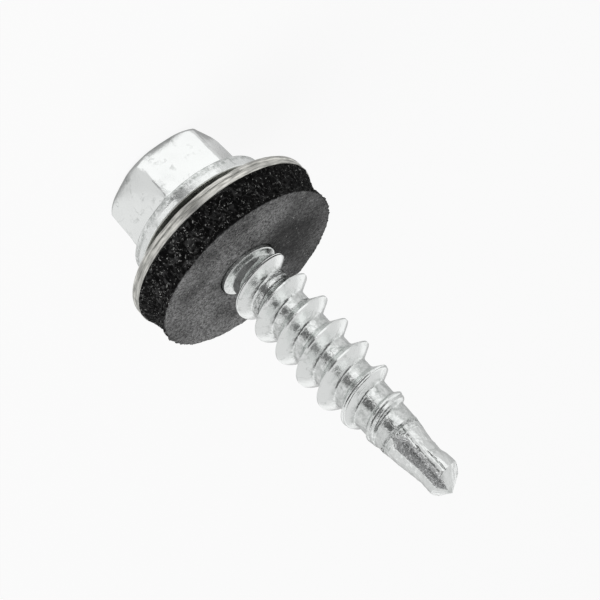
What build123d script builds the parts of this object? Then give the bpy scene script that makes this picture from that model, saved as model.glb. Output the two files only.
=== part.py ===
"""Self drilling screw ST4.8 x 25 with a captive steel and rubber sealing washer.

The screw stands on its hex head with its point up. The origin is the middle of the
flat top of the head, +Z runs along the screw to its point, and sizes are in mm.
"""

import os
from math import atan2, cos, degrees, radians, sin, tan

from build123d import *

# Head: a cold formed hexagon with draft, on a round flange.
head_height = 4.8  # flat top of the head to the bearing face of the flange
across_flats = 8.0  # at the flange, where a spanner or socket bears
hex_draft = 2.9  # degrees, the hexagon narrows towards its flat top
hex_edge_radius = 0.18
head_top_radius = 3.4  # flat top inside the rounded shoulder
shoulder_radius = 4.5
shoulder_depth = 0.8  # how far the shoulder runs down the corners
shoulder_arc_radius = 2.5
flange_radius = 5.1
flange_rim_height = 0.5
flange_shoulder_radius = 0.48
flange_slope = 17.0  # degrees, top of the flange from the hexagon outwards
flange_edge = 0.1  # bevel round the bearing face

# Shank and core.
length_under_head = 24.8
shank_radius = 2.05
core_radius = 1.6
neck_gap = 0.26  # face of the seal to the end of the plain shank
neck_length = 0.8

# Thread: right hand and coarse, with a short run-in and a long tapered run-out.
thread_radius = 2.45
thread_pitch = 2.085
crest_width = 0.12
flank_angle = 36.0  # degrees, each flank from square to the axis
root_sink = 0.12  # the ridge starts this far under the core's surface
thread_gap = 0.33  # face of the seal to the crest where the run-in begins
thread_start_angle = -90.0  # degrees from +X, where the run-in begins
run_in_turns = 1
full_turns = 4
run_out_turns = 2.2
run_in_radius = 2.1
run_out_radius = 1.46

# Drill point: forged, with two straight flutes and two ground faces.
collar_radius = 1.5
collar_height = 19.6  # bearing face to the end of the core
drill_radius = 1.29
drill_height = 21.3  # bearing face to the start of the drill's even body
lip_radius = 1.42  # the cutting corners stand proud of the drill's body
flare_height = 22.4  # bearing face to where the cutting corners begin
lip_height = 22.9  # bearing face to the widest place
lip_half_angle = 54.0  # degrees, between a cutting lip and the axis
ground_half_angle = 46.5  # degrees, between a ground face and the axis
ground_face_angle = 20.0  # degrees from +X, where the first ground face looks
flute_start = 19.85  # bearing face to the top of the flute's ramp
flute_ramp = 0.7
flute_shift = 1.15  # outward move of the section at the top of the ramp
flute_reach = 3.0  # far enough to leave the drill's body
flute_wall_angle = 92.0  # degrees from +X, direction of the cutting wall
flute_open_angle = 61.0  # degrees from the cutting wall round to the heel
web_radius = 0.34  # half of the web left between the flutes

# Sealing washer: a dished steel washer with a rubber ring bonded to it.
washer_radius = 7.0
washer_thickness = 0.8
washer_land_radius = 3.4  # flat middle that bears on the flange
washer_dish = 1.17  # the rim lies this far below the flat middle
washer_bend_radius = 1.6
washer_edge = 0.12  # bevel left round the rim by the stamping
seal_height = 2.24  # at the rim
seal_lip_radius = 6.66
seal_waist_radius = 6.46
seal_waist_share = 0.68  # of the seal's height down to its waist

# Fits.
bore_clearance = 0.05  # radial, washer and seal on the shank
bearing_clearance = 0.03  # between the flange and the washer

bearing_z = head_height
flange_side_z = bearing_z - flange_rim_height - flange_shoulder_radius
flange_top_z = flange_side_z - flange_radius * tan(radians(flange_slope))
bore_radius = shank_radius + bore_clearance
washer_z = bearing_z + bearing_clearance
rim_z = washer_z + washer_dish
bond_z = rim_z + washer_thickness
seal_z = bond_z + seal_height
waist_z = bond_z + seal_waist_share * seal_height
tip_z = bearing_z + length_under_head
neck_z = seal_z + neck_gap
core_z = neck_z + neck_length
collar_z = bearing_z + collar_height
drill_z = bearing_z + drill_height
flare_z = bearing_z + flare_height
lip_z = bearing_z + lip_height
point_z = tip_z - lip_radius / tan(radians(lip_half_angle))
thread_depth = thread_radius - core_radius + root_sink
base_half_width = crest_width / 2 + thread_depth * tan(radians(flank_angle))
thread_z = seal_z + thread_gap
full_z = thread_z + run_in_turns * thread_pitch
run_out_z = full_z + full_turns * thread_pitch
flute_z = bearing_z + flute_start


def dish_points(flat_z):
    """Corners of a dished line from the bore to the rim, flat in the middle at flat_z."""
    return (
        (bore_radius, flat_z),
        (washer_land_radius, flat_z),
        (washer_radius, flat_z + washer_dish),
    )


def thread_ridge(start_z, turns, start_radius, end_radius):
    """One stretch of the thread, its crest running from start_radius to end_radius."""
    run = turns * thread_pitch
    cone_angle = degrees(atan2(end_radius - start_radius, run))
    slant_pitch = thread_pitch / cos(radians(cone_angle))
    with BuildPart() as ridge:
        with BuildLine():
            path = Helix(slant_pitch, run, start_radius, (0, 0, start_z), cone_angle=cone_angle)
        with BuildSketch(Plane(origin=path @ 0, x_dir=(1, 0, 0), z_dir=(0, -1, 0))):
            with BuildLine():
                Polyline(
                    (0, crest_width / 2),
                    (-thread_depth, base_half_width),
                    (-thread_depth, -base_half_width),
                    (0, -crest_width / 2),
                    close=True,
                )
            make_face()
        sweep(path=path, is_frenet=True)
    return ridge.part.rotate(Axis.Z, thread_start_angle)


def flute_section(outward):
    """The section of one flute, moved outward along its mouth."""
    wall = radians(flute_wall_angle)
    heel = radians(flute_wall_angle + flute_open_angle)
    mouth = radians(flute_wall_angle + flute_open_angle / 2)
    root_distance = web_radius + outward
    wall_distance = flute_reach + outward
    root = (root_distance * cos(mouth), root_distance * sin(mouth))
    wall_end = (root[0] + wall_distance * cos(wall), root[1] + wall_distance * sin(wall))
    heel_end = (root[0] + wall_distance * cos(heel), root[1] + wall_distance * sin(heel))
    with BuildSketch() as section:
        with BuildLine():
            Polyline(wall_end, root, heel_end, close=True)
        make_face()
    return section.sketch


# Thread ridge from its run-in to its run-out, one piece with the screw below.
with BuildPart() as thread:
    add(thread_ridge(thread_z, run_in_turns, run_in_radius, thread_radius))
    add(thread_ridge(full_z, full_turns, thread_radius, thread_radius))
    add(thread_ridge(run_out_z, run_out_turns, thread_radius, run_out_radius))

# Cutter for the two flutes, each with a ramp where it runs out towards the thread.
with BuildPart() as flutes:
    with BuildSketch(Plane.XY.offset(flute_z)):
        add(flute_section(flute_shift))
    with BuildSketch(Plane.XY.offset(flute_z + flute_ramp)):
        add(flute_section(0))
    loft()
    with BuildSketch(Plane.XY.offset(flute_z + flute_ramp)):
        add(flute_section(0))
    extrude(amount=length_under_head - flute_start)
    add(flutes.part.rotate(Axis.Z, 180))

# Screw: head, flange, shank, thread and drill point are one cold formed piece.
with BuildPart() as screw:
    # Hexagon with a rounded shoulder.
    with BuildSketch(Plane.XY.offset(bearing_z)):
        RegularPolygon(across_flats / 2, 6, major_radius=False)
    extrude(amount=-bearing_z, taper=hex_draft)
    fillet(screw.edges().group_by(Axis.Z)[1], hex_edge_radius)
    with BuildSketch(Plane.XZ):
        with BuildLine():
            Polyline(
                (head_top_radius, 0),
                (0, 0),
                (0, bearing_z),
                (flange_radius, bearing_z),
                (flange_radius, shoulder_depth),
                (shoulder_radius, shoulder_depth),
            )
            RadiusArc((shoulder_radius, shoulder_depth), (head_top_radius, 0), shoulder_arc_radius)
        make_face()
    revolve(axis=Axis.Z, mode=Mode.INTERSECT)

    # Flange, sloping up to the hexagon.
    with BuildSketch(Plane.XZ):
        with BuildLine():
            FilletPolyline(
                (0, flange_top_z),
                (flange_radius, flange_side_z),
                (flange_radius, bearing_z - flange_edge),
                radius=flange_shoulder_radius,
            )
            Polyline(
                (flange_radius, bearing_z - flange_edge),
                (flange_radius - flange_edge, bearing_z),
                (0, bearing_z),
                (0, flange_top_z),
            )
        make_face()
    revolve(axis=Axis.Z)

    # Core from the plain shank to the point, with the thread on it.
    with BuildSketch(Plane.XZ):
        with BuildLine():
            Line((core_radius, core_z), (collar_radius, collar_z))
            Polyline(
                (collar_radius, collar_z),
                (drill_radius, drill_z),
                (drill_radius, flare_z),
                (lip_radius, lip_z),
                (lip_radius, point_z),
                (0, tip_z),
                (0, bearing_z),
                (shank_radius, bearing_z),
                (shank_radius, neck_z),
            )
            TangentArc((shank_radius, neck_z), (core_radius, core_z), tangent=(0, 1))
        make_face()
    revolve(axis=Axis.Z)
    add(thread.part)

    # Flutes, and the two ground faces whose ends are the cutting lips.
    add(flutes.part, mode=Mode.SUBTRACT)
    for face_angle in (ground_face_angle, ground_face_angle + 180):
        outward = sin(radians(90 - ground_half_angle))
        face_normal = (
            outward * cos(radians(face_angle)),
            outward * sin(radians(face_angle)),
            sin(radians(ground_half_angle)),
        )
        split(bisect_by=Plane((0, 0, tip_z), z_dir=face_normal), keep=Keep.BOTTOM)

# Washer: stamped from sheet and dished, so its rim stands clear of the flange.
with BuildPart() as washer:
    with BuildSketch(Plane.XZ):
        with BuildLine():
            FilletPolyline(*dish_points(washer_z), radius=washer_bend_radius)
            Line((washer_radius, rim_z), (washer_radius, bond_z))
            FilletPolyline(*dish_points(washer_z + washer_thickness), radius=washer_bend_radius)
            Line((bore_radius, washer_z), (bore_radius, washer_z + washer_thickness))
        make_face()
    revolve(axis=Axis.Z)
    rim_edges = washer.edges().filter_by(GeomType.CIRCLE).group_by(SortBy.RADIUS)[-1]
    chamfer(rim_edges.sort_by(Axis.Z)[0], washer_edge)

# Seal: rubber bonded under the washer, with a waisted cut edge.
with BuildPart() as seal:
    with BuildSketch(Plane.XZ):
        with BuildLine():
            FilletPolyline(*dish_points(washer_z + washer_thickness), radius=washer_bend_radius)
            Polyline(
                (washer_radius, bond_z),
                (seal_waist_radius, waist_z),
                (seal_lip_radius, seal_z),
                (bore_radius, seal_z),
                (bore_radius, washer_z + washer_thickness),
            )
        make_face()
    revolve(axis=Axis.Z)

os.makedirs("parts", exist_ok=True)
screw.part.label = "screw"
export_step(screw.part, "parts/screw.step")
washer.part.label = "washer"
export_step(washer.part, "parts/washer.step")
seal.part.label = "seal"
export_step(seal.part, "parts/seal.step")
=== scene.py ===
"""Dresses a self drilling screw, its steel washer and its rubber seal, and lights them."""

import math

import bmesh
import bpy
import numpy as np
from bpy.props import FloatProperty, FloatVectorProperty, PointerProperty
from bpy.types import Operator, Panel, PropertyGroup
from mathutils import Matrix, Vector, noise


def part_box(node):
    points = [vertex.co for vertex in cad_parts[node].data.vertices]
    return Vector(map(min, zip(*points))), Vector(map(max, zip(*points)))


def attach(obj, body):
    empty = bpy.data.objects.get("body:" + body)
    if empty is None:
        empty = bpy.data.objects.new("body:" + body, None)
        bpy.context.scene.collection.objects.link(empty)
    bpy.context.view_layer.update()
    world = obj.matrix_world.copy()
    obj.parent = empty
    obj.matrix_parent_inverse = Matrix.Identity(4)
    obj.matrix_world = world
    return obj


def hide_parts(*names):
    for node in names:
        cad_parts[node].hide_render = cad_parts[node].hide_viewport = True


bl_info = {
    "name": "Self drilling screw",
    "version": (1, 0, 0),
    "blender": (4, 5, 0),
    "location": "3D View > Sidebar > Screw",
    "description": "Makes a hex flange screw with a drill point, its sealing washer and a studio",
    "category": "Object",
}

MM = 0.001
COLUMNS = 240  # points round the screw, a multiple of the hexagon's six sides
WASHER_COLUMNS = 720  # points round the washer
SEAL_COLUMNS = 840  # points round the seal, whose torn edge is finer
ROWS_PER_TURN = 28  # rows of points across one pitch of the thread
SAME_PLACE = 0.0005 * MM  # points nearer to each other than this are one

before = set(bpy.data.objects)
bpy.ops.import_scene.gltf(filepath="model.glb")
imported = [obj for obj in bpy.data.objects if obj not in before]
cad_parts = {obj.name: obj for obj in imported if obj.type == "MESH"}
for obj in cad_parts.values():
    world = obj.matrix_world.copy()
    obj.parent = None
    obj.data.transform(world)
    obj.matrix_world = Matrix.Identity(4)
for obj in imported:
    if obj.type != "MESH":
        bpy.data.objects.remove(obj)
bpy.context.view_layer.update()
screw_low, screw_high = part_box("screw")
washer_low, washer_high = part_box("washer")
seal_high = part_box("seal")[1]


def linear(hex_colour):
    """An sRGB colour such as 'c8ccca' as linear red, green and blue."""
    parts = [int(hex_colour[i : i + 2], 16) / 255 for i in (0, 2, 4)]
    return tuple(c / 12.92 if c <= 0.04045 else ((c + 0.055) / 1.055) ** 2.4 for c in parts)


def length(name, description, metres):
    """A size that a user can change, shown in the scene's length unit."""
    return FloatProperty(
        name=name, description=description, default=metres, min=0.0, precision=5, unit="LENGTH"
    )


def angle(name, description, degrees):
    """An angle that a user can change, given here in degrees."""
    return FloatProperty(
        name=name, description=description, default=math.radians(degrees), subtype="ANGLE"
    )


def colour(name, description, hex_colour):
    """A finish colour that a user can change."""
    return FloatVectorProperty(
        name=name, description=description, default=linear(hex_colour), size=3, subtype="COLOR"
    )


class HeadSizes(PropertyGroup):
    """The cold formed hexagon and its flange."""

    across_flats: length("Across flats", "Hexagon, side to side, at the flange", 8.0 * MM)
    bearing: length("Head height", "Flat top to the bearing face", 4.8 * MM)
    draft: angle("Draft", "How much the hexagon's sides lean in towards its top", 2.3)
    corner: length("Corner radius", "Rounding of the hexagon's upright edges", 0.36 * MM)
    top: length("Flat top radius", "Where the rounded shoulder starts", 3.3 * MM)
    shoulder: length("Shoulder radius", "Where the rounded shoulder ends", 4.46 * MM)
    shoulder_depth: length("Shoulder depth", "How far the shoulder runs down", 0.85 * MM)
    edge: length("Edge rounding", "Rounding of the hexagon's edge at its top", 0.3 * MM)
    flange: length("Flange radius", "Outside of the flange", 5.1 * MM)
    rim: length("Flange rim", "Upright edge of the flange", 0.5 * MM)
    rim_rounding: length("Rim rounding", "Where the flange turns down to its edge", 0.48 * MM)
    slope: angle("Flange slope", "Top of the flange, outwards", 17.0)


class ThreadSizes(PropertyGroup):
    """The shank, its core and the rolled thread."""

    shank: length("Shank radius", "Plain shank under the head", 2.05 * MM)
    neck: length("Neck radius", "Just past the shank's end", 1.95 * MM)
    core: length("Core radius", "Root of the thread", 1.6 * MM)
    collar: length("Collar radius", "End of the core, above the drill point", 1.5 * MM)
    crest: length("Crest radius", "Outside of the full thread", 2.47 * MM)
    first_crest: length("First crest radius", "Crest where the thread begins", 2.15 * MM)
    last_crest: length("Last crest radius", "Crest where the thread ends", 1.45 * MM)
    pitch: length("Pitch", "Crest to crest", 2.085 * MM)
    crest_width: length("Crest width", "Flat along the crest", 0.12 * MM)
    flank: angle("Flank angle", "Each flank, from square to the axis", 34.0)
    root_rounding: length("Root rounding", "Blend between flank and core", 0.22 * MM)
    begins: length("Begins", "Height of the crest at its start angle", 9.37 * MM)
    start_angle: angle("Start angle", "Where the crest begins, from +X", -90.0)
    full: length("Full height from", "Where the crest reaches its full radius", 11.9 * MM)
    taper: length("Taper from", "Where the crest begins to run out", 19.7 * MM)
    plain_end: length("Plain shank end", "Where the neck begins", 9.3 * MM)
    neck_end: length("Neck end", "Where the shank has narrowed to the core", 10.1 * MM)
    ends: length("Core end", "Top of the collar", 24.4 * MM)


class PointSizes(PropertyGroup):
    """The forged drill point with its two flutes."""

    body: length("Body radius", "Even part of the drill", 1.29 * MM)
    back: length("Back radius", "Back of the drill where its even part begins", 1.25 * MM)
    back_end: length("Back end radius", "Back of the drill near the point", 1.0 * MM)
    lip: length("Lip radius", "Cutting corner", 1.47 * MM)
    body_from: length("Body from", "Where the drill's even part begins", 26.1 * MM)
    flare_from: length("Flare from", "Where the cutting corner begins", 27.0 * MM)
    flare_to: length("Flare to", "Widest place", 27.7 * MM)
    point_angle: angle("Point angle", "Between a cutting lip and the axis", 54.0)
    ground_angle: angle("Ground angle", "Between a ground face and the axis", 46.5)
    ground_facing: angle("Ground facing", "Where the first ground face looks", 20.0)
    flute_from: length("Flute from", "Top of the flute's ramp", 24.65 * MM)
    ramp: length("Flute ramp", "Height of the flute's ramp", 0.7 * MM)
    shift: length("Ramp shift", "How far out the flute starts", 1.15 * MM)
    wall: angle("Flute wall", "Direction of the cutting wall", 92.0)
    opening: angle("Flute opening", "From the cutting wall to the heel", 61.0)
    web: length("Half web", "Metal left between the flutes, halved", 0.34 * MM)


class WasherSizes(PropertyGroup):
    """The dished steel washer and the rubber ring bonded to it."""

    bore: length("Bore radius", "Hole through washer and seal", 2.1 * MM)
    radius: length("Washer radius", "Outside of the steel", washer_high.x)
    thickness: length("Steel thickness", "Sheet that the washer is stamped from", 0.8 * MM)
    land: length("Land radius", "Flat middle under the flange", 3.4 * MM)
    bend: length("Bend", "Length of the bend between land and dish", 0.5 * MM)
    lip: length("Seal lip radius", "Edge of the rubber's face", 6.66 * MM)
    waist: length("Seal waist radius", "Narrowest place of the rubber's edge", 6.46 * MM)


class Finishes(PropertyGroup):
    """Colours of the metals, the rubber and the studio."""

    zinc: colour("Zinc", "Bright zinc plating", "f0f2f1")
    zinc_dull: colour("Dull zinc", "Veins and pits where the plating is matt", "9fa4a1")
    # Laid on by depth into the flutes, this grey is forged scale and also a painted shade of their
    # recess.
    scale: colour("Flute scale", "Rough forged scale in the flutes", "c0c1c1")
    # The crumbs' white stands partly for painted glints in the flutes.
    flute_crumbs_and_glints: colour("Flute crumbs", "White zinc crumbs caught in the flutes", "fbfcfc")
    washer: colour("Washer", "Zinc plated sheet", "e2e1db")
    washer_dull: colour("Dull washer", "Matt lines round the washer's edge", "a4a4a0")
    rubber: colour("Rubber", "Rough edge of the seal", "050505")
    crumbs: colour("Rubber crumbs", "Pale filler grains in the torn rubber", "bcbcba")
    # The face's grey is talc with a painted sheen.
    face_talc_and_sheen: colour("Rubber face", "Dusty moulded face of the seal", "747474")
    floor: colour("Floor", "Paper under the screw", "f4f4f4")


def smooth_least(a, b, blend):
    """The lesser of two lengths, rounded where they cross."""
    h = np.clip(0.5 + 0.5 * (b - a) / blend, 0, 1)
    return b * (1 - h) + a * h - blend * h * (1 - h)


FALL_OFF, FINER_BY, OCTAVES = 0.6, 2.0, 3  # how the unevenness goes on into smaller patches


def unevenness(points, patch, depth, seed=0.0):
    """How far the forming left each point off its true place: patches of a size, by a depth."""
    flat = points.reshape(-1, 3) / patch
    moved = [Vector(point) + Vector((seed, 0, 0)) for point in flat]
    found = [noise.fractal(point, FALL_OFF, FINER_BY, OCTAVES) for point in moved]
    return depth * np.array(found).reshape(points.shape[:-1])


def even_angles(count):
    """Angles once round the screw, from +X."""
    return np.arange(count) * 2 * math.pi / count


def turned(radius, height, angles):
    """A ring of points at each angle."""
    radius = radius + np.zeros_like(angles)
    height = height + np.zeros_like(angles)
    return np.stack((radius * np.cos(angles), radius * np.sin(angles), height), axis=-1)


def reach_of(rows):
    """How far each point is from the screw's axis."""
    return np.linalg.norm(rows[..., :2], axis=-1)


def push_out(rows, amount, least_reach=0.0):
    """Moves points away from the axis, by less than the amount inside the least reach."""
    rows[..., :2] *= (1 + amount / np.maximum(reach_of(rows), least_reach))[..., None]


def bend_line(start, corner, end, steps):
    """Points of a rounded corner after its start, as pairs of radius and height."""
    for step in range(1, steps + 1):
        t = step / steps
        a, b, c = (1 - t) ** 2, 2 * t * (1 - t), t**2
        yield tuple(a * start[i] + b * corner[i] + c * end[i] for i in (0, 1))


def add_skin(shape, rows, pole_before=None, pole_after=None, flute_shade_and_tear=None):
    """Adds rings of points to a shape as one skin, closed to a point at the ends that have a pole."""
    shade_and_tear_layer = shape.verts.layers.float.get("flute_shade_and_tear") or shape.verts.layers.float.new("flute_shade_and_tear")
    rings = []
    for row_number, row in enumerate(rows):
        ring = [shape.verts.new(point) for point in row]
        if flute_shade_and_tear is not None:
            for vertex, amount in zip(ring, flute_shade_and_tear[row_number]):
                vertex[shade_and_tear_layer] = amount
        rings.append(ring)
    for low, high in zip(rings, rings[1:]):
        for i in range(len(low)):
            shape.faces.new((low[i - 1], low[i], high[i], high[i - 1]))
    if pole_before is not None:
        pole = shape.verts.new(pole_before)
        for i in range(len(rings[0])):
            shape.faces.new((rings[0][i], rings[0][i - 1], pole))
    if pole_after is not None:
        pole = shape.verts.new(pole_after)
        for i in range(len(rings[-1])):
            shape.faces.new((rings[-1][i - 1], rings[-1][i], pole))


def finish_piece(name, shape, node, body, material, crease):
    """Turns a shape into the piece that stands for a CAD node, sharp where it turns past a crease."""
    bmesh.ops.recalc_face_normals(shape, faces=shape.faces)
    mesh = bpy.data.meshes.new(name)
    shape.to_mesh(mesh)
    shape.free()
    mesh.materials.append(material)
    mesh.shade_smooth()
    mesh.set_sharp_from_angle(angle=math.radians(crease))
    piece = bpy.data.objects.new(name, mesh)
    bpy.context.scene.collection.objects.link(piece)
    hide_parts(node)
    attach(piece, body)
    return piece


MATHS = "ShaderNodeMath"
RANGE = "ShaderNodeMapRange"
NOISE = "ShaderNodeTexNoise"
MIX = "ShaderNodeMix"
VECTOR_MATHS = "ShaderNodeVectorMath"


def add(tree, kind, inputs=None, **settings):
    """Adds a node with its settings. An input takes a value, a socket, or a node's first output."""
    node = tree.nodes.new(kind)
    for key, value in settings.items():
        setattr(node, key, value)
    for key, value in (inputs or {}).items():
        if isinstance(value, bpy.types.Node):
            value = value.outputs[0]
        if isinstance(value, bpy.types.NodeSocket):
            tree.links.new(value, node.inputs[key])
        else:
            node.inputs[key].default_value = value
    return node


# Head.

FACET_BLEND = 0.05 * MM  # between the round shoulder and the hexagon's sides
SHOULDER_INSET = 0.2 * MM  # how far inside the shoulder's end its curve aims
SHOULDER_DROP = 50  # it aims a fiftieth of the shoulder's depth below the flat top
FLANGE_ROOT = 0.22 * MM  # blend between the hexagon and the flange
FLANGE_ROOT_HEIGHT = 3.6 * MM  # about where the two meet
FLANGE_ROOT_RUN = 0.8  # share of the blend that goes out along the flange
BEARING_EDGE = 0.1 * MM  # rounding of the bearing face's outer edge
BEARING_RING = 3.4 * MM  # where the crowded columns begin to turn into even ones
BEARING_CORNER = 0.02 * MM  # between the bearing face and the shank
SHANK_RING = 0.3 * MM  # from the bearing face to the next ring of the shank
SHANK_EDGE = 0.07 * MM  # rounding of the step where the shank ends
STEP_FALL = 0.01 * MM  # height of the step's nearly level face
STEP_FOOT = 0.04 * MM  # where that face ends, outside the neck
RING_GAP = 0.03 * MM  # from a rounding to the next ring


def hexagon(angles, half_flats, corner):
    """Distance from the axis to a hexagon with rounded corners, one of them on +X."""
    off = np.abs(angles % (math.pi / 3) - math.pi / 6)
    straight = half_flats / np.cos(off)
    centre = (half_flats - corner) / math.cos(math.pi / 6)
    beside = math.pi / 6 - off
    inside = np.maximum(corner**2 - (centre * np.sin(beside)) ** 2, 0)
    rounded = centre * np.cos(beside) + np.sqrt(inside)
    tangent = np.arctan((half_flats - corner) * math.tan(math.pi / 6) / half_flats)
    return np.where(off < tangent, straight, rounded)


def corner_angles():
    """Angles round the head, closer together at the hexagon's corners."""
    share = np.arange(COLUMNS) * 6 / COLUMNS
    crowding = 0.75
    return (share - crowding * np.sin(2 * math.pi * share) / (2 * math.pi)) * math.pi / 3


def head_rows(size, thread):
    """Rings from the middle of the head's flat top to the end of the plain shank."""
    angles = corner_angles()

    def side(height):
        lean = (size.bearing - height) * math.tan(size.draft)
        return hexagon(angles, size.across_flats / 2 - lean, size.corner)

    def rim(height, radius):
        up = max(0, size.edge - height)
        inset = size.edge - math.sqrt(size.edge**2 - up**2)
        return smooth_least(side(height) - inset, radius, FACET_BLEND)

    top = rim(0, size.top)
    rows = [turned(top * share, 0, angles) for share in (0.2, 0.5, 0.75, 0.9, 0.97, 1.0)]
    shoulder = (size.shoulder, size.shoulder_depth)
    control = (size.shoulder - SHOULDER_INSET, size.shoulder_depth / SHOULDER_DROP)
    for radius, height in bend_line((size.top, 0), control, shoulder, 16):
        rows.append(turned(rim(height, radius), height, angles))

    flange_top = size.bearing - size.rim - size.rim_rounding
    slope = math.tan(size.slope)
    meet = flange_top - (size.flange - side(FLANGE_ROOT_HEIGHT)) * slope
    for share in np.linspace(0, 1, 18)[1:]:
        height = size.shoulder_depth + (meet - FLANGE_ROOT - size.shoulder_depth) * share
        rows.append(turned(side(height), height, angles))
    start, corner = (side(meet - FLANGE_ROOT), meet - FLANGE_ROOT), (side(meet), meet)
    run = FLANGE_ROOT * FLANGE_ROOT_RUN
    end = (corner[0] + run, meet + run * slope)
    rows += [turned(r, h, angles) for r, h in bend_line(start, corner, end, 6)]

    turn_in = size.rim_rounding * math.tan((math.pi / 2 - size.slope) / 2)
    start = (size.flange - turn_in * math.cos(size.slope), flange_top - turn_in * math.sin(size.slope))
    for share in np.linspace(0, 1, 9)[1:]:
        radius, height = (end[i] + (start[i] - end[i]) * share for i in (0, 1))
        rows.append(turned(radius, height, angles))
    corner, end = (size.flange, flange_top), (size.flange, flange_top + turn_in)
    rows += [turned(r, h, angles) for r, h in bend_line(start, corner, end, 8)]

    # The upright rim has rings of its own, so that its shading stays level between its roundings.
    start, corner = (size.flange, size.bearing - BEARING_EDGE), (size.flange, size.bearing)
    for height in np.linspace(end[1] + RING_GAP, start[1] - RING_GAP, 4):
        rows.append(turned(size.flange, height, angles))
    rows.append(turned(*start, angles))
    end = (size.flange - BEARING_EDGE, size.bearing)
    rows += [turned(r, h, angles) for r, h in bend_line(start, corner, end, 3)]
    rows.append(turned(BEARING_RING, size.bearing, angles))

    start, corner = (thread.shank, thread.plain_end - SHANK_EDGE), (thread.shank, thread.plain_end)
    end = (thread.shank - SHANK_EDGE, thread.plain_end + STEP_FALL)
    shank = (
        (thread.shank + BEARING_CORNER, size.bearing),
        (thread.shank, size.bearing + BEARING_CORNER),
        (thread.shank, size.bearing + SHANK_RING),
        start,
        *bend_line(start, corner, end, 5),
        (thread.neck + STEP_FOOT, thread.plain_end + RING_GAP),
    )
    rows += [turned(radius, height, even_angles(COLUMNS)) for radius, height in shank]

    # Only the forged outside is uneven, and only inwards, so that the head keeps its size.
    rows = np.array(rows)
    outside = reach_of(rows) > thread.shank * 1.5
    push = unevenness(rows, patch=1.4 * MM, depth=0.035 * MM) * outside
    push_out(rows, np.minimum(push, 0))
    return rows


# Thread.

NECK_GAP = 0.05 * MM  # from the shank's end to the thread's first row, bridged later
SOCKET_KINDS = {int: "NodeSocketInt", float: "NodeSocketFloat", bpy.types.Material: "NodeSocketMaterial"}
# What changes along the thread: the heights where it starts and stops, the radius at each, its curve.
THREAD_RAMPS = {
    "crest": ("Begins", "Full from", "First crest radius", "Crest radius", "LINEAR"),
    "run-out": ("Taper from", "End height", "Crest radius", "Last crest radius", "LINEAR"),
    "onset": ("Start height", "Onset end", "Core radius", "Crest radius", "LINEAR"),
    "neck": ("Neck start", "Neck end", "Neck radius", "Core radius", "SMOOTHSTEP"),
    "collar": ("Taper from", "End height", "Core radius", "Collar radius", "LINEAR"),
}


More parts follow.
